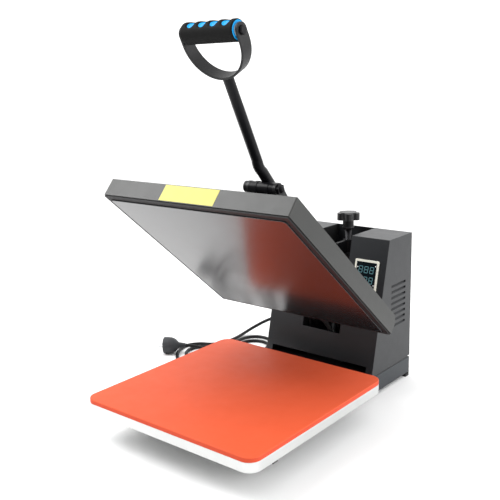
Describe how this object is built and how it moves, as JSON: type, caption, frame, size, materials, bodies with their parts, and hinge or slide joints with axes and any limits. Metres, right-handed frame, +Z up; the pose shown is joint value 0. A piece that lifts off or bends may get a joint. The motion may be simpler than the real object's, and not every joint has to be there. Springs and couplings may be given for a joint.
{
  "type": "heat press",
  "caption": "Clamshell heat press with a padded square lower platen, a hinged heated upper platen, a toggle lever with a D grip, and a control tower with a pressure knob.",
  "frame": {"origin": "on the bench under the middle of the machine, leaving out the mains lead and its plug", "axes": "+X to the user's right, +Y from the user towards the control tower, +Z up"},
  "size_m": [0.6114, 0.685, 0.7111],
  "materials": {
    "powder_black": "fine satin powder coat",
    "frame_black": "satin paint",
    "bright_steel": "zinc plated",
    "aluminium": "milled edge",
    "hot_plate": "non-stick coated",
    "silicone": "smooth silicone",
    "black_rubber": "matt",
    "foam": "matt foam",
    "grip_blue": "moulded",
    "washer": "nylon",
    "black_plastic": "moulded",
    "cream_plastic": "moulded",
    "dark_window": "tinted",
    "board": "solder mask",
    "label_yellow": "printed film",
    "wool": "ceramic fibre",
    "key_grey": "moulded"
  },
  "bodies": {
    "frame": {"base_rail_right": "frame_black", "base_rail_left": "frame_black", "cross_members": "frame_black", "rail_feet": "black_rubber", "deck_plate": "frame_black", "lower_platen": "aluminium", "platen_posts": "bright_steel", "platen_bolts": "bright_steel", "silicone_pad": "silicone", "tower_shell": "powder_black", "channel_wall_right": "powder_black", "channel_wall_left": "powder_black", "rear_panel": "powder_black", "panel_screws": "bright_steel", "shell_brackets": "frame_black", "side_plate_right": "frame_black", "side_plate_left": "frame_black", "screw_bridge": "frame_black", "arm_pivot_bolts": "bright_steel", "spring_anchor": "frame_black", "return_springs": "bright_steel", "display_window": "dark_window", "controller_bezel": "cream_plastic", "controller_case": "black_plastic", "circuit_board": "board", "switch_housing": "black_plastic", "fuse_holder": "black_plastic", "relay": "black_plastic", "heater_conduit": "black_rubber", "strain_relief": "black_rubber", "power_cord": "black_rubber", "mains_plug": "black_plastic"},
    "press_arm": {"arm_left": "frame_black", "arm_right": "frame_black", "arm_ties": "frame_black", "platen_bracket": "frame_black", "platen_studs": "bright_steel", "lever_pivot_bolt": "frame_black", "heat_plate": "hot_plate", "heater_element": "bright_steel", "insulation_sheet": "wool", "upper_cover": "powder_black", "edge_seal": "black_rubber", "cover_label": "label_yellow", "temperature_probe": "bright_steel"},
    "lever": {"handle_tube": "frame_black", "lever_fork": "frame_black", "crank_pin": "bright_steel", "grip_strap": "frame_black", "grip_foam": "foam", "grip_core": "grip_blue", "grip_bolt": "frame_black"},
    "link": {"toggle_link": "frame_black"},
    "pressure_block": {"trunnion_block": "bright_steel"},
    "pressure_screw": {"threaded_rod": "frame_black", "pressure_knob": "black_plastic"},
    "key_down": {"key_down": "key_grey"},
    "key_set": {"key_set": "key_grey"},
    "key_up": {"key_up": "key_grey"},
    "rocker": {"power_rocker": "black_plastic"}
  },
  "joints": [
    {"name": "arm_swing", "type": "hinge", "parent": "frame", "child": "press_arm", "pos_m": [0, 0.19655, 0.13], "axis": [1, 0, 0], "range_deg": [0, 41.08], "stiffness_Nm_per_rad": 40, "springref_deg": -68.75, "deforming": ["return_springs", "heater_conduit"]},
    {"name": "lever_swing", "type": "hinge", "parent": "press_arm", "child": "lever", "pos_m": [0, -0.01698, 0.42864], "axis": [1, 0, 0], "range_deg": [0, 20.01]},
    {"name": "link_swing", "type": "hinge", "parent": "lever", "child": "link", "pos_m": [0, 0.00275, 0.35184], "axis": [1, 0, 0], "range_deg": [-32.18, 0]},
    {"name": "pressure_slide", "type": "slide", "parent": "frame", "child": "pressure_block", "axis": [0, 0, 1], "range_m": [-0.002, 0.002]},
    {"name": "knob_turn", "type": "hinge", "parent": "pressure_block", "child": "pressure_screw", "pos_m": [0, 0.26355, 0.2], "axis": [0, 0, 1], "range_deg": [-361, 361]},
    {"name": "power_switch", "type": "hinge", "parent": "frame", "child": "rocker", "pos_m": [-0.09, 0.29405, 0.165], "axis": [1, 0, 0], "range_deg": [0, 9]},
    {"name": "key_down_press", "type": "slide", "parent": "frame", "child": "key_down", "axis": [0, 0.972, -0.2351], "range_m": [0, 0.0012], "stiffness_N_per_m": 400, "springref_m": -0.0005},
    {"name": "key_set_press", "type": "slide", "parent": "frame", "child": "key_set", "axis": [0, 0.972, -0.2351], "range_m": [0, 0.0012], "stiffness_N_per_m": 400, "springref_m": -0.0005},
    {"name": "key_up_press", "type": "slide", "parent": "frame", "child": "key_up", "axis": [0, 0.972, -0.2351], "range_m": [0, 0.0012], "stiffness_N_per_m": 400, "springref_m": -0.0005}
  ],
  "couplings": [
    {"joint": "lever_swing", "follows": "arm_swing", "ratio": 0.48685},
    {"joint": "link_swing", "follows": "arm_swing", "ratio": -0.78305},
    {"joint": "knob_turn", "follows": "pressure_slide", "rad_per_m": 3141.6}
  ]
}
